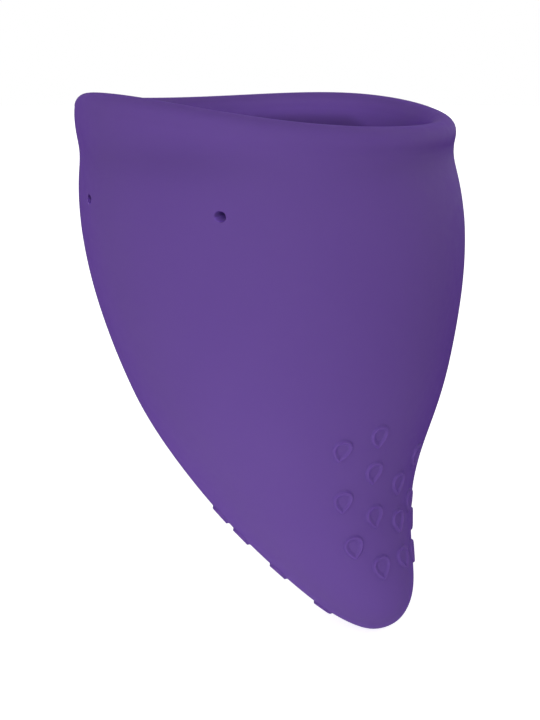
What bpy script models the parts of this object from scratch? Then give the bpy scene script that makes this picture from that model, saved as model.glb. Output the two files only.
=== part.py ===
"""Menstrual cup in soft silicone: asymmetric bell, rolled lip, dished grip drops.

Frame: millimetres in the constants, metres in the model.  Z is up, the cup
stands on its tip with its mouth upwards.  X points to the front, the side the
tip leans to.  The walls and the back drops are mirror-symmetric in the XZ
plane; the lip and the front drops depart from it a little.  Z = 0 is the
lowest point of the tip and X = 0 is the middle of the cup's overall depth.

The real object is a single moulding.  It is split here at three level planes
into the zones that work differently, and every raised grip drop is a part of
its own, so that each zone can be named, picked and given a stiffness.
"""
import math

import bmesh
import bpy
import numpy as np
from mathutils import Vector

MM = 0.001

# ---------------------------------------------------------------- dimensions
FRAME_X = 0.19         # shift of all middles that centres the overall depth on X = 0

NECK_H = 54.9          # level of the shallow groove under the lip band
BEND_TOP_H = 18.5      # top of the bending zone above the solid tip
BEND_BOTTOM_H = 11.5   # bottom of the bending zone
PIVOT_H = (BEND_TOP_H + BEND_BOTTOM_H) / 2  # level of the bending axis
HALF_GAP = 0.05        # half the clearance between neighbouring zones

LIP_RADIUS = 1.5       # round of the lip
LIP_CENTRE_X = -1.0    # middle of the mouth, before FRAME_X
LIP_HALF_DEPTH = 21.5  # mouth, outside, along X
LIP_HALF_WIDTH = 22.05  # mouth, outside, along Y
LIP_MEAN_H = 58.79     # mean level of the lip's centre line
LIP_WAVE = (-1.375, -0.83, 0.12, 0.07)   # rise of the lip at 1, 2, 3, 4 waves a turn
LIP_TWIST = 0.16       # the lip's saddle stands a little askew to the mirror plane
BAND_CROWN = 0.18      # outward crown of the lip band

WALL_TOP = 1.9         # wall thickness under the lip
WALL_BOTTOM = 2.4      # wall thickness above the solid tip
CAVITY_FLOOR_H = 9.5   # lowest point of the inside
CAVITY_ROUND = 8.0     # height of the rounded cavity floor

VENT_DIAMETER = 1.2    # four holes under the lip, cut by two pins parallel to Y
VENT_PINS = ((9.35, 49.75), (-8.98, 50.4))  # X and height of each pin
VENT_REACH = 26.0      # half length of a pin, clear of the bell on both sides

DROP_WIDTH = 2.30      # raised grip drop
DROP_LENGTH = 2.95
DROP_TAPER = 0.38      # share of the width lost at the pointed end
DROP_BELLY = 0.06      # upward shift of the widest part, in half lengths
DROP_RISE = 0.30       # height of its rolled edge
DROP_DISH = 0.14       # height of its dished middle
DROP_SEAT_GAP = 0.05   # clearance under a drop
# Rings of a drop from the seat to the dish: scale of the outline, height off the wall.
DROP_RINGS = (
    (1.0, DROP_SEAT_GAP), (0.96, 0.55 * DROP_RISE),
    (0.80, DROP_RISE), (0.52, (DROP_RISE + DROP_DISH) / 2),
)

# Facets and steps of the meshes.
SEGMENTS = 48          # facets round the cup
DROP_POINTS = 12       # facets round a drop
PIN_SIDES = 14         # facets round a vent pin
BAND_STEPS = 3         # steps up each side of the lip band
LIP_STEPS = 8          # steps over the round of the lip
BELL_STEP = 2.2        # height of a mesh row in the bell wall
NECK_STEP = 1.7        # the same, in the bending zone
TIP_STEP = 1.4         # the same, in the tip above TIP_EVEN_H
TIP_EVEN_H = 3.1
TIP_LOW_LEVELS = (0.25, 0.9, 1.9)   # closer rows below TIP_EVEN_H
FLOOR_RISES = (0.12, 0.6, 1.2)      # rows above the lowest point of the cavity

# Level sections of the outside: height, middle (X, before FRAME_X), half depth (X).
STATIONS = (
    (0.0, 14.52, 0.0), (0.7, 14.33, 2.68), (1.7, 13.85, 4.43), (2.7, 13.24, 5.70),
    (4.7, 11.92, 7.54), (6.7, 10.40, 8.92), (8.7, 8.85, 10.04), (12.7, 6.20, 11.93),
    (16.7, 4.34, 13.60), (20.7, 3.24, 15.28), (24.7, 2.63, 16.95), (28.7, 2.16, 18.42),
    (32.7, 1.66, 19.62), (36.7, 1.18, 20.60), (40.7, 0.74, 21.35), (44.7, 0.31, 21.79),
    (48.7, -0.14, 21.87), (51.7, -0.52, 21.62), (NECK_H, -0.90, 21.10),
)
WIDTH_RATIO_TIP = 0.79   # half width over half depth, at the tip
WIDTH_RATIO_BELL = 1.03  # the same, from WIDTH_BLEND_H up
WIDTH_BLEND_H = 28.0

# Grip drops: height, Y of the middle, outward lean of the point in degrees.
FRONT_DROPS = (
    (18.55, -0.25, -2.0), (13.95, 0.2, 5.0), (9.6, 0.4, 8.0),
    (25.4, -5.5, -4.0), (25.2, 11.4, 4.0), (20.9, -4.75, -1.0), (21.1, 3.0, 0.0),
    (15.4, -3.65, -6.0), (15.4, 3.25, 0.0), (9.3, -3.1, -6.0), (9.3, 3.25, -4.0),
    (24.3, -9.4, 8.0), (23.6, 14.6, 8.0), (17.8, -7.5, 0.0), (17.6, 9.9, 0.0),
    (12.1, -5.9, -8.0), (12.1, 5.9, -8.0),
)
# On the back, drops off the mirror plane come in pairs.
BACK_DROPS = (
    (17.6, 0.0, 0.0), (12.4, 0.0, 0.0), (7.6, 0.0, 0.0),
    (19.3, 5.2, 0.0), (14.9, 4.9, 0.0), (9.9, 4.3, 0.0), (2.4, 3.5, 0.0),
    (13.2, 9.35, 0.0), (10.6, 8.1, 0.0), (6.7, 6.35, 0.0),
)

SILICONE = (0.127, 0.069, 0.283)
DROP_SHADE = 1.04      # the drops are a touch lighter than the walls
ROUGHNESS = 0.55
SHARP_ANGLE = math.radians(40)


# ------------------------------------------------------------------ sections
def cubic_through(knots, values):
    """Natural cubic spline through the points, held constant beyond its ends."""
    knots = np.asarray(knots, float)
    values = np.asarray(values, float)
    count = len(knots)
    gaps = np.diff(knots)
    slopes = np.diff(values) / gaps
    matrix = np.zeros((count, count))
    target = np.zeros(count)
    matrix[0, 0] = matrix[-1, -1] = 1.0
    for i in range(1, count - 1):
        matrix[i, i - 1:i + 2] = gaps[i - 1], 2 * (gaps[i - 1] + gaps[i]), gaps[i]
        target[i] = 6 * (slopes[i] - slopes[i - 1])
    bends = np.linalg.solve(matrix, target)   # second derivatives at the knots

    def value(x):
        x = min(max(float(x), knots[0]), knots[-1])
        i = min(int(np.searchsorted(knots, x, side="right")) - 1, count - 2)
        gap = gaps[i]
        past = x - knots[i]
        left = knots[i + 1] - x
        return float((bends[i] * left ** 3 + bends[i + 1] * past ** 3) / (6 * gap)
                     + (values[i] / gap - bends[i] * gap / 6) * left
                     + (values[i + 1] / gap - bends[i + 1] * gap / 6) * past)
    return value


station_heights, station_middles, station_depths = zip(*STATIONS)
middle_at = cubic_through(station_heights, station_middles)
# The square of the depth is interpolated, so that the tip closes in a round.
depth_squared_at = cubic_through(station_heights, [depth ** 2 for depth in station_depths])


def clamp(t):
    return min(max(t, 0.0), 1.0)


def smooth(t):
    t = clamp(t)
    return t * t * (3 - 2 * t)


def blend(start, end, t):
    return start + (end - start) * smooth(t)


def outside(height):
    """Middle, half depth and half width of the outside at a height."""
    depth = math.sqrt(max(depth_squared_at(height), 0.0))
    ratio = blend(WIDTH_RATIO_TIP, WIDTH_RATIO_BELL, height / WIDTH_BLEND_H)
    return middle_at(height) + FRAME_X, depth, depth * ratio


def inside(height):
    """Middle, half depth and half width of the cavity at a height."""
    thickness = blend(WALL_BOTTOM, WALL_TOP, (height - BEND_TOP_H) / (NECK_H - BEND_TOP_H))
    reach = 0.25   # the slope of the outside is taken this far down and up
    low = max(height - reach, 0.05)
    high = min(height + reach, NECK_H)
    low_middle, low_depth, low_width = outside(low)
    high_middle, high_depth, high_width = outside(high)

    def level_thickness(rise_outwards):
        """Wall thickness measured level, where the wall itself slopes."""
        return thickness * math.hypot(1.0, rise_outwards / (high - low))

    front = level_thickness((high_middle + high_depth) - (low_middle + low_depth))
    back = level_thickness((high_middle - high_depth) - (low_middle - low_depth))
    side = level_thickness(high_width - low_width)
    middle, depth, width = outside(height)
    rounding = math.sqrt(1.0 - (1.0 - clamp((height - CAVITY_FLOOR_H) / CAVITY_ROUND)) ** 2)
    return (middle + (back - front) / 2,
            (depth - (front + back) / 2) * rounding,
            (width - side) * rounding)


def section_point(section, angle, height):
    middle, depth, width = section(height)
    return Vector((middle + depth * math.cos(angle), width * math.sin(angle), height))


def round_angles(count):
    return [2 * math.pi * i / count for i in range(count)]


def level_ring(section, height):
    return [section_point(section, angle, height) for angle in round_angles(SEGMENTS)]


def outer_frame(angle, height):
    """Point, sideways and upward tangents (per radian and mm), outward normal."""
    angle_step = 0.002
    height_step = 0.02
    low = max(height - height_step, 0.0)
    high = height + height_step
    side = (section_point(outside, angle + angle_step, height)
            - section_point(outside, angle - angle_step, height)) / (2 * angle_step)
    up = (section_point(outside, angle, high)
          - section_point(outside, angle, low)) / (high - low)
    return section_point(outside, angle, height), side, up, side.cross(up).normalized()


# ------------------------------------------------------------------- helpers
def silicone(name, shade):
    mat = bpy.data.materials.new(name)
    mat.use_nodes = True
    shader = mat.node_tree.nodes["Principled BSDF"]
    shader.inputs["Base Color"].default_value = (*(c * shade for c in SILICONE), 1.0)
    shader.inputs["Roughness"].default_value = ROUGHNESS
    return mat


def add(name, bm, parent=None, shade=1.0):
    """Finish a bmesh given in millimetres; the origin is the parent's, or the frame's."""
    origin = parent.location if parent else Vector()
    for vert in bm.verts:
        vert.co = vert.co * MM - origin
    bmesh.ops.recalc_face_normals(bm, faces=bm.faces[:])
    mesh = bpy.data.meshes.new(name)
    bm.to_mesh(mesh)
    bm.free()
    mesh.shade_smooth()
    mesh.set_sharp_from_angle(angle=SHARP_ANGLE)
    mesh.materials.append(silicone(name, shade))
    ob = bpy.data.objects.new(name, mesh)
    bpy.context.scene.collection.objects.link(ob)
    ob.parent = parent
    return ob


def loft(bm, rings, closed=False, first_pole=None, last_pole=None):
    """Quads between successive rings; an end is a pole, or the loft closes on itself."""
    rows = [[bm.verts.new(p) for p in ring] for ring in rings]
    count = len(rows[0])
    pairs = list(zip(rows[:-1], rows[1:]))
    if closed:
        pairs.append((rows[-1], rows[0]))
    for lower, upper in pairs:
        for i in range(count):
            j = (i + 1) % count
            bm.faces.new((lower[i], lower[j], upper[j], upper[i]))
    for pole, row in ((first_pole, rows[0]), (last_pole, rows[-1])):
        if pole is not None:
            end = bm.verts.new(pole)
            for i in range(count):
                bm.faces.new((end, row[(i + 1) % count], row[i]))
    return rows


def levels(low, high, step):
    count = max(1, round((high - low) / step))
    return [low + (high - low) * i / count for i in range(count + 1)]


# --------------------------------------------------------------------- zones
def wall_zone(name, bottom, top, step):
    """A ring of wall between two level cuts, drawn in by the clearance."""
    heights = levels(bottom + HALF_GAP, top - HALF_GAP, step)
    rings = [level_ring(outside, height) for height in heights]
    rings += [level_ring(inside, height) for height in reversed(heights)]
    bm = bmesh.new()
    loft(bm, rings, closed=True)
    return add(name, bm)


def lip_level(angle):
    waves = sum(rise * math.cos(k * angle) for k, rise in enumerate(LIP_WAVE, 1))
    return LIP_MEAN_H + LIP_TWIST * math.sin(2 * angle) + waves


def s_curve(start, end, t):
    """Point between two ends: even in height, eased sideways."""
    point = start.lerp(end, smooth(t))
    point.z = start.z + (end.z - start.z) * t
    return point


def lip_column(angle):
    """Section of the lip band: up the outside, over the round, down the inside."""
    c = math.cos(angle)
    s = math.sin(angle)
    outward = Vector((c / LIP_HALF_DEPTH, s / LIP_HALF_WIDTH, 0.0)).normalized()
    outer_edge = Vector((LIP_CENTRE_X + FRAME_X + LIP_HALF_DEPTH * c, LIP_HALF_WIDTH * s,
                         lip_level(angle)))
    centre = outer_edge - outward * LIP_RADIUS
    inner_edge = centre - outward * LIP_RADIUS
    outer_foot = section_point(outside, angle, NECK_H)
    inner_foot = section_point(inside, angle, NECK_H)
    outer_foot.z = inner_foot.z = NECK_H + HALF_GAP

    column = []
    for j in range(BAND_STEPS):
        t = j / BAND_STEPS
        crown = outward * BAND_CROWN * math.sin(math.pi * t)
        column.append(s_curve(outer_foot, outer_edge, t) + crown)
    for j in range(LIP_STEPS + 1):
        turn = math.pi * j / LIP_STEPS
        rise = Vector((0, 0, LIP_RADIUS * math.sin(turn)))
        column.append(centre + outward * LIP_RADIUS * math.cos(turn) + rise)
    for j in range(1, BAND_STEPS + 1):
        column.append(s_curve(inner_edge, inner_foot, j / BAND_STEPS))
    return column


def lip_zone():
    """The lip band above the groove."""
    columns = [lip_column(angle) for angle in round_angles(SEGMENTS)]
    bm = bmesh.new()
    loft(bm, list(zip(*columns)), closed=True)
    add("rim_band", bm)


def tip_zone(axis):
    """Solid tip with the rounded floor of the cavity in its top."""
    top = BEND_BOTTOM_H - HALF_GAP
    outer_heights = [*TIP_LOW_LEVELS, *levels(TIP_EVEN_H, top, TIP_STEP)]
    floor_heights = [CAVITY_FLOOR_H + rise for rise in FLOOR_RISES] + [top]
    rings = [level_ring(outside, height) for height in outer_heights]
    rings += [level_ring(inside, height) for height in reversed(floor_heights)]
    bm = bmesh.new()
    loft(bm, rings,
         first_pole=(outside(0.0)[0], 0.0, 0.0),
         last_pole=(inside(CAVITY_FLOOR_H)[0], 0.0, CAVITY_FLOOR_H))
    add("pull_tip", bm, axis)


def vent_cutter():
    """Two pins along Y, each cut through both sides of the bell wall."""
    bm = bmesh.new()
    radius = VENT_DIAMETER / 2
    for x, height in VENT_PINS:
        ends = [[(x + radius * math.cos(angle), y, height + radius * math.sin(angle))
                 for angle in round_angles(PIN_SIDES)]
                for y in (-VENT_REACH, VENT_REACH)]
        for row in loft(bm, ends):
            bm.faces.new(row)
    ob = add("vent_cutter", bm)
    ob.hide_render = True
    ob.display_type = 'WIRE'
    return ob


def bell_zone():
    """The bell wall with its vents."""
    bell = wall_zone("bell_wall", BEND_TOP_H, NECK_H, BELL_STEP)
    vents = bell.modifiers.new("vents", 'BOOLEAN')
    vents.operation = 'DIFFERENCE'
    vents.solver = 'EXACT'
    vents.object = vent_cutter()


# --------------------------------------------------------------------- drops
def drop_outline(angle):
    """Teardrop, round end up: sideways and upward distance from its middle."""
    c = math.cos(angle)
    s = math.sin(angle)
    taper = 1.0 if s > 0 else 1.0 - DROP_TAPER * s * s
    return DROP_WIDTH / 2 * c * taper, DROP_LENGTH / 2 * (s + DROP_BELLY * (1 - s * s))


def drop_zone(name, back, height, y, lean, parent):
    """Raised drop on the outside: rolled edge, dished middle, curved seat."""
    angle = math.asin(y / outside(height)[2])
    turn = math.radians(lean) * (1 if y >= 0 else -1)
    if back:
        angle = math.pi - angle
        turn = -turn
    middle, side, up, normal = outer_frame(angle, height)
    rings = []
    for scale, rise in DROP_RINGS:
        ring = []
        for i in range(DROP_POINTS):
            u, v = drop_outline(2 * math.pi * (i + 0.5) / DROP_POINTS + math.pi / 2)
            across = scale * (u * math.cos(turn) - v * math.sin(turn))
            along = scale * (u * math.sin(turn) + v * math.cos(turn))
            seat, _, _, outward = outer_frame(angle + across / side.length,
                                              height + along / up.length)
            ring.append(seat + outward * rise)
        rings.append(ring)
    bm = bmesh.new()
    loft(bm, rings,
         first_pole=middle + normal * DROP_SEAT_GAP,
         last_pole=middle + normal * DROP_DISH)
    add(name, bm, parent, DROP_SHADE)


def in_pairs(table):
    """Each drop off the mirror plane once on either side of it."""
    return [(height, y * sign, lean)
            for height, y, lean in table
            for sign in ((1,) if y == 0 else (-1, 1))]


def grip_drops(group, back, table, axis):
    """Numbered drops of one side; those below the bending axis move with the tip."""
    for number, (height, y, lean) in enumerate(table, 1):
        parent = axis if height < PIVOT_H else None
        drop_zone(f"grip_drop_{group}_{number:02d}", back, height, y, lean, parent)


def tip_axis():
    """Empty that the tip bends about."""
    axis = bpy.data.objects.new("tip_axis", None)
    axis.location = Vector((outside(PIVOT_H)[0], 0.0, PIVOT_H)) * MM
    bpy.context.scene.collection.objects.link(axis)
    return axis


def main():
    for ob in list(bpy.data.objects):
        bpy.data.objects.remove(ob, do_unlink=True)

    axis = tip_axis()
    lip_zone()
    bell_zone()
    wall_zone("neck_wall", BEND_BOTTOM_H, BEND_TOP_H, NECK_STEP)
    tip_zone(axis)
    grip_drops("front", False, FRONT_DROPS, axis)
    grip_drops("back", True, in_pairs(BACK_DROPS), axis)


main()
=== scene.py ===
"""Looks of the soft silicone cup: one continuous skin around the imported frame.

The closed tip is at z = 0 and the open mouth at the top. The front is +X, and y = 0 is
the mirror plane. Lengths of the cup are in millimetres and scaled to metres when its
mesh is made. An "angle" runs round the cup in radians, from +X towards +Y.
"""
import math

import bpy
import numpy as np
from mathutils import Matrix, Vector


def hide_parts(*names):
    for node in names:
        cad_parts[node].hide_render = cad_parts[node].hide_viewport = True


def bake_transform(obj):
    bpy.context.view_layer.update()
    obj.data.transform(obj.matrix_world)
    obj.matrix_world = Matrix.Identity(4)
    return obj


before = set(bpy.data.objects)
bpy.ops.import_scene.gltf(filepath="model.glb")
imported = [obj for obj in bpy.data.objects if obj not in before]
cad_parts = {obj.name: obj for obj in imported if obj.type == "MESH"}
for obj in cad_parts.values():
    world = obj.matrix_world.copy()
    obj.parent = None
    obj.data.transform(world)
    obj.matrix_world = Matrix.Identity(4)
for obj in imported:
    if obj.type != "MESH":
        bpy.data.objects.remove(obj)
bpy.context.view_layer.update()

MM = 0.001

# ------------------------------------------------------------------ the shape
# height, middle in X (before FRAME_X), half depth along X
STATIONS = (
    (0.0, 14.52, 0.0), (0.7, 14.33, 2.68), (1.7, 13.85, 4.43), (2.7, 13.24, 5.70),
    (4.7, 11.92, 7.54), (6.7, 10.40, 8.92), (8.7, 8.85, 10.04), (12.7, 6.20, 11.93),
    (16.7, 4.34, 13.60), (20.7, 3.24, 15.28), (24.7, 2.63, 16.95), (28.7, 2.16, 18.42),
    (32.7, 1.66, 19.62), (36.7, 1.18, 20.60), (40.7, 0.74, 21.35), (44.7, 0.31, 21.79),
    (48.7, -0.14, 21.87), (51.7, -0.52, 21.62), (54.9, -0.90, 21.10),
)
FRAME_X = 0.19           # shift of the whole outline along X
NECK_H = STATIONS[-1][0]
WIDTH_RATIO_TIP = 0.79   # width over depth
WIDTH_RATIO_BELL = 1.03
WIDTH_BLEND_H = 28.0

BEND_TOP_H = 18.5

LIP_RADIUS = 1.5
LIP_X = -1.0 + FRAME_X
LIP_HALF_DEPTH = 21.5
LIP_HALF_WIDTH = 22.05
LIP_MEAN_H = 58.79
LIP_WAVE = (-1.375, -0.83, 0.12, 0.07)   # cosine terms of the lip's height
LIP_TWIST = 0.16         # the lip's saddle stands a little askew to the mirror plane
BAND_CROWN = 0.20
GROOVE_H = 54.5          # the hollow under the lip band
GROOVE_REACH = 1.6
GROOVE_DEPTH = 0.42
GROOVE_SIDE_RISE = 0.8   # the hollow sits higher at the sides
# shift (as a share of the reach) and weight of the samples that round out the groove
ROUNDING = ((-1.0, 0.06), (-0.66, 0.13), (-0.33, 0.2), (0.0, 0.22),
            (0.33, 0.2), (0.66, 0.13), (1.0, 0.06))
ROUNDING_REACH = 1.6
ROUNDING_START_H = 46.0

WALL_TOP = 1.9
WALL_BOTTOM = 2.4
CAVITY_FLOOR_H = 9.5
CAVITY_ROUND = 8.0

VENT_RADIUS = 1.05 / 2
VENT_ROUND = 0.14        # radius of the rounded edge of a vent
# X and height; each pin runs along Y through both sides
VENT_PINS = ((9.35, 49.75), (-8.98, 50.4))

# height, distance from the mirror plane, outward lean of the point in degrees
FRONT_DROPS = (
    (18.55, -0.25, -2.0), (13.95, 0.2, 5.0), (9.6, 0.4, 8.0),
    (25.4, -5.5, -4.0), (25.2, 11.4, 4.0), (20.9, -4.75, -1.0), (21.1, 3.0, 0.0),
    (15.4, -3.65, -6.0), (15.4, 3.25, 0.0), (9.3, -3.1, -6.0), (9.3, 3.25, -4.0),
    (24.3, -9.4, 8.0), (23.6, 14.6, 8.0), (17.8, -7.5, 0.0), (17.6, 9.9, 0.0),
    (12.1, -5.9, -8.0), (12.1, 5.9, -8.0),
)
# on the back, drops off the mirror plane come in pairs
BACK_DROPS = (
    (17.6, 0.0, 0.0), (12.4, 0.0, 0.0), (7.6, 0.0, 0.0),
    (19.3, 5.2, 0.0), (14.9, 4.9, 0.0), (9.9, 4.3, 0.0), (2.4, 3.5, 0.0),
    (13.2, 9.35, 0.0), (10.6, 8.1, 0.0), (6.7, 6.35, 0.0),
)
RIDGE_WIDTH = 1.95       # of the crest line of a drop's rolled edge
RIDGE_LENGTH = 2.50
RIDGE_RISE = 0.27
DISH_RISE = 0.05
TEAR_POWER = 0.8         # lower values give a fuller, rounder lower end
RIDGE_OUTER = 0.27       # breadth of the slope outside the crest
RIDGE_INNER = 0.46       # breadth of the slope inside the crest
CREST_POINTS = 72
DROP_REACH = 2.3         # no drop raises the skin farther out than this

# A "run" counts millimetres along the skin's profile: up the outside (where it is the
# height), up the band, over the lip, down the band's inner face and down the cavity.
BAND_RUN = 4.0
ARC_START = NECK_H + BAND_RUN
INNER_BAND_START = ARC_START + math.pi * LIP_RADIUS
CAVITY_START = INNER_BAND_START + BAND_RUN
RUN_END = CAVITY_START + (NECK_H - CAVITY_FLOOR_H)

COLUMNS = 288
FINE = 6                 # divisions of a cell under a drop
FINE_REACH = 2.35        # cells this near to a drop's middle are divided
DROP_NORMAL_REACH = 2.2  # points this near take their normals from the raised skin
VENT_CELLS = 8
COLUMN_ANGLE = 2 * math.pi / COLUMNS


def natural_cubic(xs, ys):
    """Natural cubic spline through the points, held level beyond its ends."""
    count, gaps = len(xs), np.diff(xs)
    system, target = np.zeros((count, count)), np.zeros(count)
    system[0, 0] = system[-1, -1] = 1.0
    for i in range(1, count - 1):
        before, after = gaps[i - 1], gaps[i]
        system[i, i - 1:i + 2] = before, 2 * (before + after), after
        target[i] = 6 * ((ys[i + 1] - ys[i]) / after - (ys[i] - ys[i - 1]) / before)
    bend = np.linalg.solve(system, target)

    def value(x):
        x = np.clip(np.asarray(x, float), xs[0], xs[-1])
        i = np.clip(np.searchsorted(xs, x, side="right") - 1, 0, count - 2)
        past, left, gap = x - xs[i], xs[i + 1] - x, gaps[i]
        return ((bend[i] * left ** 3 + bend[i + 1] * past ** 3) / (6 * gap)
                + (ys[i] / gap - bend[i] * gap / 6) * left
                + (ys[i + 1] / gap - bend[i + 1] * gap / 6) * past)
    return value


station_heights, station_middles, station_depths = np.array(STATIONS).T
middle_at = natural_cubic(station_heights, station_middles)
depth_squared_at = natural_cubic(station_heights, station_depths ** 2)


def smooth(share):
    share = np.clip(share, 0.0, 1.0)
    return share * share * (3 - 2 * share)


def unit(vectors):
    return vectors / np.maximum(np.linalg.norm(vectors, axis=-1, keepdims=True), 1e-12)


def mix_xy(start, end, share):
    return [first + (last - first) * share for first, last in zip(start, end)]


def outside(height):
    """Middle in X, half depth and half width of the outer section."""
    depth = np.sqrt(np.maximum(depth_squared_at(height), 0.0))
    ratio = (WIDTH_RATIO_TIP
             + (WIDTH_RATIO_BELL - WIDTH_RATIO_TIP) * smooth(height / WIDTH_BLEND_H))
    return middle_at(height) + FRAME_X, depth, depth * ratio


def inside(height, step=0.25):
    """The same for the cavity: the outer section less the wall, measured square to it."""
    low, high = np.maximum(height - step, 0.05), np.minimum(height + step, NECK_H)
    (x0, depth0, width0), (x1, depth1, width1) = outside(low), outside(high)
    x, depth, width = outside(height)
    wall = WALL_BOTTOM + (WALL_TOP - WALL_BOTTOM) * smooth(
        (height - BEND_TOP_H) / (NECK_H - BEND_TOP_H))

    def level_wall(low_edge, high_edge):
        return wall * np.hypot(1.0, (high_edge - low_edge) / (high - low))

    front = level_wall(x0 + depth0, x1 + depth1)
    rear = level_wall(x0 - depth0, x1 - depth1)
    side = level_wall(width0, width1)
    rise = np.clip((height - CAVITY_FLOOR_H) / CAVITY_ROUND, 0.0, 1.0)
    floor_round = np.sqrt(1.0 - (1.0 - rise) ** 2)
    return (x + (rear - front) / 2, (depth - (front + rear) / 2) * floor_round,
            (width - side) * floor_round)


def oval_xy(section, angle, height):
    x, depth, width = section(height)
    return x + depth * np.cos(angle), width * np.sin(angle)


def lip_level(angle):
    """Height of the centre line of the lip's round."""
    return LIP_MEAN_H + LIP_TWIST * np.sin(2 * angle) + sum(
        size * np.cos((k + 1) * angle) for k, size in enumerate(LIP_WAVE))


def lip_normal(angle):
    x, y = np.cos(angle) / LIP_HALF_DEPTH, np.sin(angle) / LIP_HALF_WIDTH
    length = np.hypot(x, y)
    return x / length, y / length


def lip_xy(angle, inset=0.0):
    """Outer edge of the lip, moved inwards by the inset."""
    normal_x, normal_y = lip_normal(angle)
    return (LIP_X + LIP_HALF_DEPTH * np.cos(angle) - normal_x * inset,
            LIP_HALF_WIDTH * np.sin(angle) - normal_y * inset)


def groove_depth(angle):
    """Depth of the hollow under the lip band: deepest at the sides, shallowest behind."""
    fade_at, softness = 0.62, 0.06    # it runs out where cos squared is fade_at
    swing = (np.cos(angle) ** 2 - fade_at) / fade_at
    behind = smooth(-(np.cos(angle) - 0.26) / 0.43)
    return GROOVE_DEPTH * (np.sqrt(swing * swing + softness ** 2) - softness) * (1.0 - 0.4 * behind)


def in_groove(angle, z):
    """1 in the bottom of the hollow, falling to 0 above and below it."""
    below_lip = smooth((lip_level(angle) - z) / 2.2)
    bottom = GROOVE_H + GROOVE_SIDE_RISE * np.sin(angle) ** 2
    return np.exp(-((z - bottom) / GROOVE_REACH) ** 2) * below_lip


def outer_xy(angle, z):
    """Outside of the body and of the lip band, up to the lip's centre line."""
    body = oval_xy(outside, angle, np.minimum(z, NECK_H))
    band_height = lip_level(angle) - NECK_H
    climb = np.clip((z - NECK_H) / band_height, 0.0, 1.0)
    x, y = mix_xy(body, lip_xy(angle), smooth(climb))
    crown = BAND_CROWN * np.sin(math.pi * climb) * smooth((band_height - 1.5) / 2.5)
    bulge = crown - groove_depth(angle) * in_groove(angle, z)
    normal_x, normal_y = lip_normal(angle)
    return x + normal_x * bulge, y + normal_y * bulge


def outer_smooth_xy(angle, z):
    """The same, with the groove under the band rounded out."""
    reach = (np.clip(0.9 * (lip_level(angle) - z), 0.0, ROUNDING_REACH)
             * smooth((z - ROUNDING_START_H) / 3.0))
    total = sum(weight for _, weight in ROUNDING)
    return sum(weight * np.array(outer_xy(angle, z + shift * reach))
               for shift, weight in ROUNDING) / total


def skin(angle, run):
    """Point of the plain skin, without drops."""
    angle, run = np.broadcast_arrays(np.asarray(angle, float), np.asarray(run, float))
    top = lip_level(angle)

    climb = np.clip((run - NECK_H) / BAND_RUN, 0, 1)
    outer_z = np.where(run <= NECK_H, np.maximum(run, 0.0), NECK_H + (top - NECK_H) * climb)
    outer = (*outer_smooth_xy(angle, outer_z), outer_z)

    turn = np.clip((run - ARC_START) / LIP_RADIUS, 0.0, math.pi)
    arc = (*lip_xy(angle, LIP_RADIUS * (1 - np.cos(turn))), top + LIP_RADIUS * np.sin(turn))

    descent = np.clip((run - INNER_BAND_START) / BAND_RUN, 0.0, 1.0)
    inner_xy = mix_xy(lip_xy(angle, 2 * LIP_RADIUS), oval_xy(inside, angle, NECK_H),
                      smooth(descent))
    inner_band = (*inner_xy, top + (NECK_H - top) * descent)

    cavity_z = np.clip(NECK_H - (run - CAVITY_START), CAVITY_FLOOR_H, NECK_H)
    cavity = (*oval_xy(inside, angle, cavity_z), cavity_z)

    part = np.digitize(run, (ARC_START, INNER_BAND_START, CAVITY_START))
    return np.stack([np.choose(part, choices)
                     for choices in zip(outer, arc, inner_band, cavity)], -1)


def skin_normal(angle, run, surface=skin):
    turn, step = 0.0012, 0.025
    across = surface(angle + turn, run) - surface(angle - turn, run)
    along = (surface(angle, np.minimum(run + step, RUN_END))
             - surface(angle, np.maximum(run - step, 0.0)))
    return unit(np.cross(across, along))


# ------------------------------------------------------------------ the drops
def drop_crest():
    """Crest line of a drop: a teardrop, round end up, with a V-shaped lower end."""
    turn = np.linspace(0, 2 * math.pi, CREST_POINTS, endpoint=False)
    x = np.sin(turn) * np.abs(np.sin(turn / 2)) ** TEAR_POWER
    x *= RIDGE_WIDTH / 2 / x.max()
    return np.stack([x, -np.cos(turn) * RIDGE_LENGTH / 2], 1)


CREST = drop_crest()


def crest_distance(points):
    """Signed distance from the crest line, negative inside."""
    starts, ends = CREST, np.roll(CREST, -1, 0)
    edges = ends - starts
    offsets = points[:, None, :] - starts[None]
    share = np.clip((offsets * edges).sum(-1) / (edges * edges).sum(-1), 0, 1)
    distance = np.linalg.norm(offsets - edges * share[..., None], axis=-1).min(1)
    x, y = points[:, :1], points[:, 1:]
    (x0, y0), (x1, y1) = starts.T, ends.T
    with np.errstate(divide="ignore", invalid="ignore"):
        crossed = ((y0 > y) != (y1 > y)) & (x < (x1 - x0) * (y - y0) / (y1 - y0) + x0)
    return np.where(crossed.sum(1) % 2 == 1, -distance, distance)


def drop_height(points):
    """Rise of a drop at points of its own plane."""
    def fall(share):
        return 0.5 * (1 + np.cos(math.pi * np.clip(share, 0, 1)))

    distance = crest_distance(points)
    outer = RIDGE_RISE * fall(distance / RIDGE_OUTER)
    inner = DISH_RISE + (RIDGE_RISE - DISH_RISE) * fall(-distance / RIDGE_INNER)
    return np.where(distance > 0, outer, inner)


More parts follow.
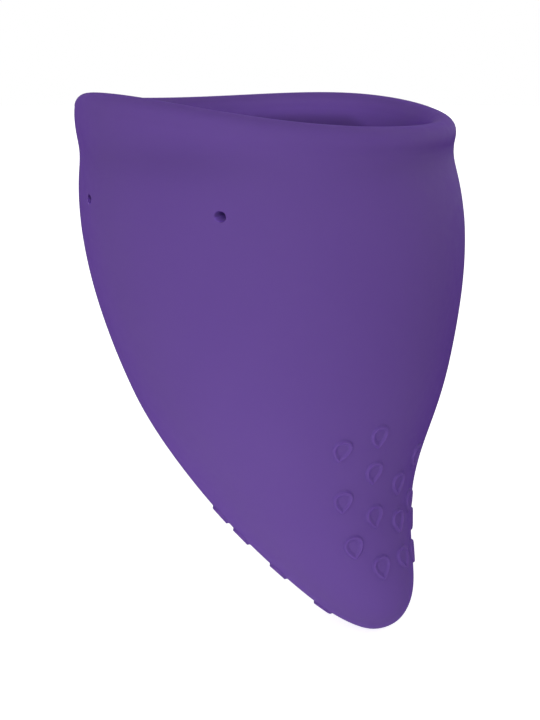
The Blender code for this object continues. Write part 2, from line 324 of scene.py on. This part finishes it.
def drop_seats():
    """Middle, sideways and upward directions, and turn of every drop."""
    pairs = [(height, y * sign, lean) for height, y, lean in BACK_DROPS
             for sign in ((1,) if y == 0 else (-1, 1))]
    seats = []
    for on_back, table in ((False, FRONT_DROPS), (True, pairs)):
        for height, y, lean in table:
            angle = math.asin(y / outside(height)[2])
            if on_back:
                angle = math.pi - angle
            turn = math.radians(lean) * (1 if y >= 0 else -1) * (-1 if on_back else 1)
            side = unit(skin(angle + 0.002, height) - skin(angle - 0.002, height))
            upward = np.cross(skin_normal(angle, height), side)
            seats.append((skin(angle, height), side, upward, turn))
    return seats


SEATS = drop_seats()


def near_drop(points, reach):
    near = np.zeros(points.shape[:-1], bool)
    for centre, *_ in SEATS:
        near |= ((points - centre) ** 2).sum(-1) < reach ** 2
    return near


def dressed(angle, run):
    """Skin with the drops raised on it."""
    points = skin(angle, run)
    angles, runs = (np.broadcast_to(values, points.shape[:-1]).reshape(-1)
                    for values in (angle, run))
    flat = points.reshape(-1, 3)
    rise = np.zeros(len(flat))
    for centre, side, upward, turn in SEATS:
        offsets = flat - centre
        near = np.where((runs < NECK_H) & ((offsets ** 2).sum(1) < DROP_REACH ** 2))[0]
        if len(near) == 0:
            continue
        x, y = offsets[near] @ side, offsets[near] @ upward
        cos, sin = math.cos(turn), math.sin(turn)
        turned = np.stack([x * cos + y * sin, -x * sin + y * cos], 1)
        rise[near] = np.maximum(rise[near], drop_height(turned))
    lifted = np.where(rise > 0)[0]
    if len(lifted):
        flat[lifted] += skin_normal(angles[lifted], runs[lifted]) * rise[lifted, None]
    return flat.reshape(points.shape)


# ------------------------------------------------------------------- the mesh
def profile_rows():
    """Runs of the rows, closer where the surface turns."""
    rows, run, probe = [], 0.012, 0.05
    while run < NECK_H - 0.3:
        rows.append(run)
        length = float(np.linalg.norm(skin(math.pi, run + probe) - skin(math.pi, run)))
        # spacing along the back, growing from the tip to its full size
        spacing = min(0.52, 0.16 + 0.06 * len(rows))
        run += probe * spacing / max(length, 1e-6)
    floor_run, floor_rows = 6.0, 20
    for start, end, count in ((NECK_H, ARC_START, 12), (ARC_START, INNER_BAND_START, 17),
                              (INNER_BAND_START, CAVITY_START, 10),
                              (CAVITY_START, RUN_END - floor_run, 56)):
        rows += list(np.linspace(start, end, count)[:-1])
    rows += [RUN_END - floor_run * (1 - k / floor_rows) ** 2 for k in range(floor_rows)]
    return np.array(rows)


def vent_ends(rows):
    """For every vent its outer and inner end: nearest row and column, angle, run."""
    vents = []
    for x, height in VENT_PINS:
        for sign in (-1, 1):
            ends = []
            for section, run in ((outside, height), (inside, CAVITY_START + NECK_H - height)):
                middle, depth, _ = section(height)
                angle = sign * math.acos((x - middle) / depth)
                row, column = int(np.argmin(np.abs(rows - run))), int(round(angle / COLUMN_ANGLE))
                ends.append((row, column, angle, run))
            vents.append(ends)
    return vents


def vent_outline(row, column):
    """Grid corners round the block of cells left out for a vent."""
    half = VENT_CELLS // 2
    steps = range(VENT_CELLS)
    return ([(row - half, column - half + k) for k in steps]
            + [(row - half + k, column + half) for k in steps]
            + [(row + half, column + half - k) for k in steps]
            + [(row + half - k, column - half) for k in steps])


def skin_grid(rows, fine, left_out):
    """Faces of the grid, the (angle, run) of its vertices, and their index.

    Cells under a drop are divided; a plain cell beside one takes in its edge vertices.
    """
    index, params, faces = {}, [], []

    def vertex(fine_row, fine_column):
        key = (fine_row, fine_column % (COLUMNS * FINE))
        if key not in index:
            i, part = divmod(fine_row, FINE)
            run = rows[i]
            if part:
                run = run + (rows[i + 1] - rows[i]) * part / FINE
            index[key] = len(params)
            params.append((key[1] * COLUMN_ANGLE / FINE, run))
        return index[key]

    def steps(divided):
        return range(FINE) if divided else (0,)

    last = len(rows) - 2
    for i in range(last + 1):
        for j in range(COLUMNS):
            if left_out[i, j]:
                continue
            row, column = i * FINE, j * FINE
            end_row, end_column = row + FINE, column + FINE
            if fine[i, j]:
                for r in range(row, end_row):
                    for c in range(column, end_column):
                        faces.append((vertex(r, c), vertex(r, c + 1),
                                      vertex(r + 1, c + 1), vertex(r + 1, c)))
                continue
            before = i > 0 and fine[i - 1, j]
            after = i < last and fine[i + 1, j]
            loop = [vertex(row, column + k) for k in steps(before)]
            loop += [vertex(row + k, end_column) for k in steps(fine[i, (j + 1) % COLUMNS])]
            loop += [vertex(end_row, end_column - k) for k in steps(after)]
            loop += [vertex(end_row - k, column) for k in steps(fine[i, (j - 1) % COLUMNS])]
            faces.append(tuple(loop))
    return faces, np.array(params), index


class SkinMesh:
    """Growing lists of points in millimetres, their normals, and faces."""

    def __init__(self, points, normals, faces):
        self.points, self.normals, self.faces = list(points), list(normals), faces

    def add(self, points, normals):
        start = len(self.points)
        self.points.extend(points)
        self.normals.extend(normals)
        return list(range(start, len(self.points)))

    def strip(self, lower, upper):
        """Quads between two closed rings."""
        for k in range(len(lower)):
            after = (k + 1) % len(lower)
            self.faces.append((lower[k], lower[after], upper[after], upper[k]))


def add_pole(mesh, ring, run, upward):
    pole, = mesh.add([skin(0.0, run)], [np.array([0.0, 0.0, upward])])
    for j, start in enumerate(ring):
        end = ring[(j + 1) % len(ring)]
        mesh.faces.append((pole, start, end) if upward > 0 else (pole, end, start))


def add_vent_end(mesh, outline, ids, angle, run, outward, into_wall):
    """Rings from the block's outline to the hole, then round its edge; returns the last."""
    outline_angles = np.array([j * COLUMN_ANGLE for _, j in outline])
    outline_runs = np.array([ROWS[i] for i, _ in outline])
    centre = skin(angle, run)
    # millimetres of surface per radian and per unit of run
    per_angle = np.linalg.norm(skin(angle + 0.01, run) - skin(angle - 0.01, run)) / 0.02
    per_run = np.linalg.norm(skin(angle, run + 0.1) - skin(angle, run - 0.1)) / 0.2
    first = np.arctan2((outline_runs[0] - run) * per_run,
                       (outline_angles[0] - angle) * per_angle)
    around = first + np.linspace(0, 2 * math.pi, len(ids), endpoint=False)
    slant = abs(float(skin_normal(angle, run) @ outward))

    def circle(radius):
        return (angle + np.cos(around) * radius / per_angle / slant,
                run + np.sin(around) * radius / per_run)

    ring = ids
    rim = circle(VENT_RADIUS + VENT_ROUND)
    for share in (0.25, 0.5, 0.72, 0.88, 1.0):
        place = mix_xy((outline_angles, outline_runs), rim, share)
        following = mesh.add(skin(*place), skin_normal(*place))
        mesh.strip(ring, following)
        ring = following
    for share in (0.33, 0.66, 1.0):
        turn = share * math.pi / 2
        points = (skin(*circle(VENT_RADIUS + VENT_ROUND * (1 - math.sin(turn))))
                  + into_wall * VENT_ROUND * (1 - math.cos(turn)))
        offsets = points - centre
        radial = unit(offsets - into_wall * (offsets @ into_wall)[:, None])
        normals = unit(-into_wall * math.cos(turn) - radial * math.sin(turn))
        following = mesh.add(points, normals)
        mesh.strip(ring, following)
        ring = following
    return ring


def add_bore(mesh, outer_ring, inner_ring, centre):
    """Tube along Y between the two ends of a vent."""
    outer = np.array([mesh.points[i] for i in outer_ring])
    inner = np.array([mesh.points[i] for i in inner_ring])
    count = len(outer_ring)

    def gap(inner_points, k):
        """Squared distance in X and Z from point k of the outer ring."""
        return ((inner_points[..., ::2] - outer[k, ::2]) ** 2).sum(-1)

    # the inner block runs the other way up, so match the rings by position
    first = int(np.argmin(gap(inner, 0)))
    forward = gap(inner[(first + 1) % count], 1) < gap(inner[(first - 1) % count], 1)
    order = [(first + (k if forward else -k)) % count for k in range(count)]
    previous = outer_ring
    for share in (0.2, 0.4, 0.6, 0.8):
        points = outer * (1 - share) + inner[order] * share
        ring = mesh.add(points, unit((centre - points) * (1.0, 0.0, 1.0)))
        mesh.strip(previous, ring)
        previous = ring
    mesh.strip(previous, [inner_ring[k] for k in order])


def build_skin():
    """The cup's object and the normals of its vertices."""
    mid_runs = ((ROWS[:-1] + ROWS[1:]) / 2)[:, None]
    mid_angles = (np.arange(COLUMNS) + 0.5) * COLUMN_ANGLE
    fine = near_drop(skin(mid_angles, mid_runs), FINE_REACH) & (mid_runs < NECK_H - 5)
    vents = vent_ends(ROWS)
    left_out = np.zeros_like(fine)
    half = VENT_CELLS // 2
    for ends in vents:
        for row, column, _, _ in ends:
            columns = np.arange(column - half, column + half) % COLUMNS
            left_out[row - half:row + half, columns] = True

    faces, params, index = skin_grid(ROWS, fine, left_out)
    angles, runs = params.T
    points = dressed(angles, runs)
    normals = skin_normal(angles, runs)
    close = near_drop(points, DROP_NORMAL_REACH) & (runs < NECK_H)
    normals[close] = skin_normal(angles[close], runs[close], dressed)
    mesh = SkinMesh(points, normals, faces)

    def corner(row, column):
        return index[row * FINE, column % COLUMNS * FINE]

    for run, row, upward in ((0.0, 0, -1.0), (RUN_END, len(ROWS) - 1, 1.0)):
        add_pole(mesh, [corner(row, j) for j in range(COLUMNS)], run, upward)

    for ends in vents:
        centre = skin(*ends[0][2:])
        outward = np.array([0.0, math.copysign(1.0, centre[1]), 0.0])
        rings = []
        for (row, column, angle, run), into_wall in zip(ends, (-outward, outward)):
            outline = vent_outline(row, column)
            ids = [corner(i, j) for i, j in outline]
            rings.append(add_vent_end(mesh, outline, ids, angle, run, outward, into_wall))
        add_bore(mesh, *rings, centre)

    data = bpy.data.meshes.new("silicone_cup")
    data.from_pydata((np.array(mesh.points) * MM).tolist(), [], mesh.faces)
    data.validate(clean_customdata=False)
    data.shade_smooth()
    ob = bpy.data.objects.new("silicone_cup", data)
    bpy.context.scene.collection.objects.link(ob)
    return ob, np.array(mesh.normals)


def mostly_flipped(ob, normals):
    """Whether most faces point against the wanted normals."""
    faces = ob.data.polygons
    against = sum(1 for face in faces if Vector(normals[face.vertices[0]]).dot(face.normal) < 0)
    return against > len(faces) / 2


MOUTH_PAINTED_LIGHT = 0.55        # painted light: how much lighter the band's inner face is painted
# painted light: how much lighter the bores of the vents are painted
VENT_PAINTED_LIGHT = 0.6
GROOVE_PAINTED_SHADE = 0.12      # painted shade: how much darker the hollow under the band is painted
PAINTED_LIGHT_DEPTH = 2.3         # depth of the painted light below the lip's top
PAINTED_LIGHT_EXTRA_DEPTH = 2.2   # the painted light reaches this much deeper around this angle
PAINTED_LIGHT_DEEP_ANGLE = math.radians(50)


def paint_light_and_shade(ob, normals):
    """Painted light and shade in the colour: the band's inner face and the vents' bores are painted
    lighter, standing for light coming through the thin silicone, and the hollow under the band is
    painted darker as painted shade.
    """
    x, y, z = (np.array([v.co[:] for v in ob.data.vertices]) / MM).T
    angle = np.arctan2(y / LIP_HALF_WIDTH, (x - LIP_X) / LIP_HALF_DEPTH)
    normal_x, normal_y = lip_normal(angle)
    facing_out = (normals[:, 0] * normal_x + normals[:, 1] * normal_y) / 0.5
    below = lip_level(angle) + LIP_RADIUS - z
    end = PAINTED_LIGHT_DEPTH + PAINTED_LIGHT_EXTRA_DEPTH * smooth((np.cos(angle - PAINTED_LIGHT_DEEP_ANGLE) - 0.68) / 0.23)
    # painted light: the band's inner face is painted lighter below the lip's top
    glow = (MOUTH_PAINTED_LIGHT * smooth(-facing_out) * smooth((below - 0.2) / 2.0)
            * (1 - smooth((below - end) / 1.4)))
    # painted shade: the hollow under the band is painted darker
    glow -= (GROOVE_PAINTED_SHADE * smooth(facing_out) * (groove_depth(angle) / GROOVE_DEPTH)
             * in_groove(angle, z + 0.2))
    # painted light: the bores of the vents are painted lighter
    for pin_x, height in VENT_PINS:
        in_bore = (np.hypot(x - pin_x, z - height) < VENT_RADIUS + 0.008) & (np.abs(y) > 10)
        glow = np.where(in_bore, VENT_PAINTED_LIGHT, glow)
    # the painted light and shade is kept as a per-vertex attribute
    layer = ob.data.attributes.new("painted_light_and_shade", 'FLOAT', 'POINT')
    layer.data.foreach_set("value", glow.astype(np.float32))


# --------------------------------------------------------------- shader nodes
def fill(tree, node, inputs):
    """Link or set the inputs of a node."""
    for socket, value in inputs.items():
        if isinstance(value, bpy.types.NodeSocket):
            tree.links.new(value, node.inputs[socket])
        else:
            node.inputs[socket].default_value = value


def add_node(tree, kind, inputs={}, **settings):
    node = tree.nodes.new("ShaderNode" + kind)
    for name, value in settings.items():
        setattr(node, name, value)
    fill(tree, node, inputs)
    return node


def calculate(tree, operation, first, second):
    return add_node(tree, "Math", {0: first, 1: second}, operation=operation).outputs[0]


def end_tree(tree, kind, lighting, seen):
    """Output that shows one shader to the camera and lights the scene with another."""
    rays = add_node(tree, "LightPath")
    mix = add_node(tree, "MixShader", {"Fac": rays.outputs["Is Camera Ray"],
                                       1: lighting.outputs[0], 2: seen.outputs[0]})
    add_node(tree, kind, {"Surface": mix.outputs[0]})


def silicone():
    """Matte violet rubber with painted light and shade: lighter or darker where its per-vertex
    attribute of painted light and shade says so, and a painted sheen seen edge-on.
    """
    mat = bpy.data.materials.new("matte_violet_silicone")
    mat.use_nodes = True
    tree = mat.node_tree
    coord = add_node(tree, "TexCoord")

    def noise(label, scale, detail, roughness):
        return add_node(tree, "TexNoise", {
            "Scale": scale, "Detail": detail, "Roughness": roughness,
            "Vector": coord.outputs["Object"]}, label=label).outputs["Fac"]

    cloud = noise("pigment clouding", scale=45.0, detail=3.0, roughness=0.5)
    grain = noise("moulded grain", scale=5200.0, detail=2.0, roughness=0.6)
    satin = noise("surface bloom", scale=900.0, detail=4.0, roughness=0.55)

    ramp = add_node(tree, "ValToRGB", {"Fac": cloud})
    for element, position, color in zip(ramp.color_ramp.elements, (0.30, 0.72), (
            (0.126, 0.063, 0.288, 1), (0.135, 0.069, 0.302, 1))):
        element.position = position
        element.color = color
    # painted light and shade: the base colour is scaled by the attribute
    painted_light_shade = add_node(tree, "Attribute", attribute_name="painted_light_and_shade")
    brightness = calculate(tree, 'ADD', painted_light_shade.outputs["Fac"], 1.0)
    tint = add_node(tree, "VectorMath", operation='SCALE', inputs={
        0: ramp.outputs["Color"], "Scale": brightness}).outputs[0]

    # painted sheen: seen edge-on the base colour is shifted to a purer violet, more blue and less
    # green, standing for a violet sheen at grazing angles
    facing = add_node(tree, "LayerWeight", {"Blend": 0.5})
    edge = add_node(tree, "MapRange", interpolation_type='SMOOTHSTEP', inputs={
        "From Min": 0.45, "From Max": 0.90, "Value": facing.outputs["Facing"]})
    shift = add_node(tree, "VectorMath", operation='SCALE', inputs={
        0: (0.04, -0.15, 0.20), "Scale": edge.outputs["Result"]})
    painted_sheen_color = add_node(tree, "VectorMath", operation='MULTIPLY_ADD', inputs={
        0: tint, 1: shift.outputs[0], 2: tint})

    rough = add_node(tree, "MapRange", {"From Min": 0.3, "From Max": 0.7, "To Min": 0.56,
                                        "To Max": 0.66, "Value": satin})
    bump = add_node(tree, "Bump", {"Strength": 0.06, "Distance": 0.00004, "Height": grain})
    fill(tree, tree.nodes["Principled BSDF"], {
        "Base Color": painted_sheen_color.outputs[0],
        "Roughness": rough.outputs["Result"],
        "Normal": bump.outputs["Normal"],
        "IOR": 1.41,
        "Specular IOR Level": 0.13,
        "Subsurface Weight": 0.30,
        "Subsurface Radius": (1.0, 0.6, 1.3),
        "Subsurface Scale": 0.0016,
    })
    return mat


# ------------------------------------------------------------------ the piece
ROWS = profile_rows()
cup, cup_normals = build_skin()
if mostly_flipped(cup, cup_normals):
    cup.data.flip_normals()
cup.data.normals_split_custom_set_from_vertices([tuple(n) for n in cup_normals])
# paint light and shade into the cup's colour attribute
paint_light_and_shade(cup, cup_normals)
cup.data.materials.append(silicone())

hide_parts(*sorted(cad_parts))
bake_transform(cup)


# ------------------------------------- floor, light, camera (lengths in metres)
scene = bpy.context.scene
scene.view_settings.view_transform = 'Standard'
scene.view_settings.look = 'None'

AZIMUTH = math.radians(38.3)      # of the camera, from -Y towards +X
ELEVATION = math.radians(13.1)
DISTANCE = 0.144
TARGET = Vector((-0.00011, -0.00024, 0.0302))
# the camera's own directions: from the target towards it, to its right, and upwards
back = Vector((math.sin(AZIMUTH) * math.cos(ELEVATION),
               -math.cos(AZIMUTH) * math.cos(ELEVATION), math.sin(ELEVATION)))
right = Vector((math.cos(AZIMUTH), math.sin(AZIMUTH), 0.0))
above = back.cross(right)

# soft light: (to the right, upwards, towards the camera), strength, tightness
AMBIENT = 0.46
SOFT_LIGHTS = (
    ((-0.22, -0.20, 1.0), 2.42, 3.0),
    ((1.0, 0.1, -0.6), 1.45, 6.0),
)

FLOOR_RADIUS = 3.0
FLOOR_SIDES = 96
FLOOR_Z = -0.0002
FLOOR_WHITE = (0.9, 0.9, 0.9, 1)
FLOOR_SEEN = 0.75     # glow added where the camera sees the floor
FLOOR_REACH = 0.09    # distance over which a bright half of the floor turns into a dim half
# light thrown up by the brighter halves: (towards the camera, to the right), strength
FLOOR_HALVES = (((1.0, 0.0), 0.287), ((0.7, -0.7), 0.368))
# pools of light: place from the tip (towards the camera, to the right), radius, strength
FLOOR_POOLS = (((0.060, -0.010), 0.090, 0.45), ((0.024, -0.030), 0.055, 0.27))


def soft_world():
    """Broad lobes of light over an even ambient; the camera sees plain white."""
    world = bpy.data.worlds.new("soft_studio")
    scene.world = world
    world.use_nodes = True
    tree = world.node_tree
    tree.nodes.clear()
    coord = add_node(tree, "TexCoord")
    total = None
    for (rightward, upward, nearer), strength, tightness in SOFT_LIGHTS:
        toward = (right * rightward + above * upward + back * nearer).normalized()
        dot = add_node(tree, "VectorMath", operation='DOT_PRODUCT', inputs={
            0: coord.outputs["Generated"], 1: toward})
        lit = calculate(tree, 'MAXIMUM', dot.outputs["Value"], 0.0)
        lobe = calculate(tree, 'MULTIPLY', calculate(tree, 'POWER', lit, tightness), strength)
        total = calculate(tree, 'ADD', total, lobe) if total else lobe
    total = calculate(tree, 'ADD', total, AMBIENT)
    glow = add_node(tree, "Background", {"Strength": total})
    sheet = add_node(tree, "Background", {"Color": (1, 1, 1, 1)})
    end_tree(tree, "OutputWorld", lighting=glow, seen=sheet)


def floor_paint(tip):
    """Matte white card that throws more light up in front of the object than behind it."""
    mat = bpy.data.materials.new("pale_floor")
    mat.use_nodes = True
    tree = mat.node_tree
    tree.nodes.clear()
    card = add_node(tree, "BsdfDiffuse", {"Color": FLOOR_WHITE})
    seen = add_node(tree, "Emission", {"Strength": FLOOR_SEEN})
    shown = add_node(tree, "AddShader", {0: card.outputs[0], 1: seen.outputs[0]})
    place = add_node(tree, "NewGeometry")

    def light(operation, vector, start, end, strength):
        measure = add_node(tree, "VectorMath", operation=operation, inputs={
            1: vector, 0: place.outputs["Position"]})
        level = add_node(tree, "MapRange", interpolation_type='SMOOTHSTEP', inputs={
            "From Min": start, "From Max": end, "To Min": 0.0, "To Max": strength,
            "Value": measure.outputs["Value"]})
        return level.outputs["Result"]

    parts = []
    for (toward, rightward), strength in FLOOR_HALVES:
        direction = back * toward + right * rightward
        direction.z = 0.0
        parts.append(light('DOT_PRODUCT', direction.normalized(),
                           start=-FLOOR_REACH / 2, end=FLOOR_REACH / 2, strength=strength))
    ahead = Vector((back.x, back.y, 0.0)).normalized()
    for (toward, rightward), radius, strength in FLOOR_POOLS:
        parts.append(light('DISTANCE', tip + ahead * toward + right * rightward,
                           start=radius, end=0.0, strength=strength))
    total = parts[0]
    for part in parts[1:]:
        total = calculate(tree, 'ADD', total, part)
    bounce = add_node(tree, "Emission", {"Strength": total})
    end_tree(tree, "OutputMaterial", lighting=bounce, seen=shown)
    return mat


def studio_floor():
    data = bpy.data.meshes.new("studio_floor")
    turns = [2 * math.pi * i / FLOOR_SIDES for i in range(FLOOR_SIDES)]
    rim = [(FLOOR_RADIUS * math.cos(t), FLOOR_RADIUS * math.sin(t), FLOOR_Z) for t in turns]
    data.from_pydata(rim, [], [tuple(range(FLOOR_SIDES))])
    ob = bpy.data.objects.new("studio_floor", data)
    scene.collection.objects.link(ob)
    data.materials.append(floor_paint(Vector((STATIONS[0][1] * MM, 0.0, 0.0))))


def add_camera():
    camera = bpy.data.cameras.new("camera")
    camera.lens = 60.0
    camera.sensor_width = 36.0
    camera.clip_start = 0.005
    rig = bpy.data.objects.new("camera", camera)
    scene.collection.objects.link(rig)
    rig.location = TARGET + back * DISTANCE
    rig.rotation_euler = (-back).to_track_quat('-Z', 'Y').to_euler()
    scene.camera = rig


soft_world()
studio_floor()
add_camera()
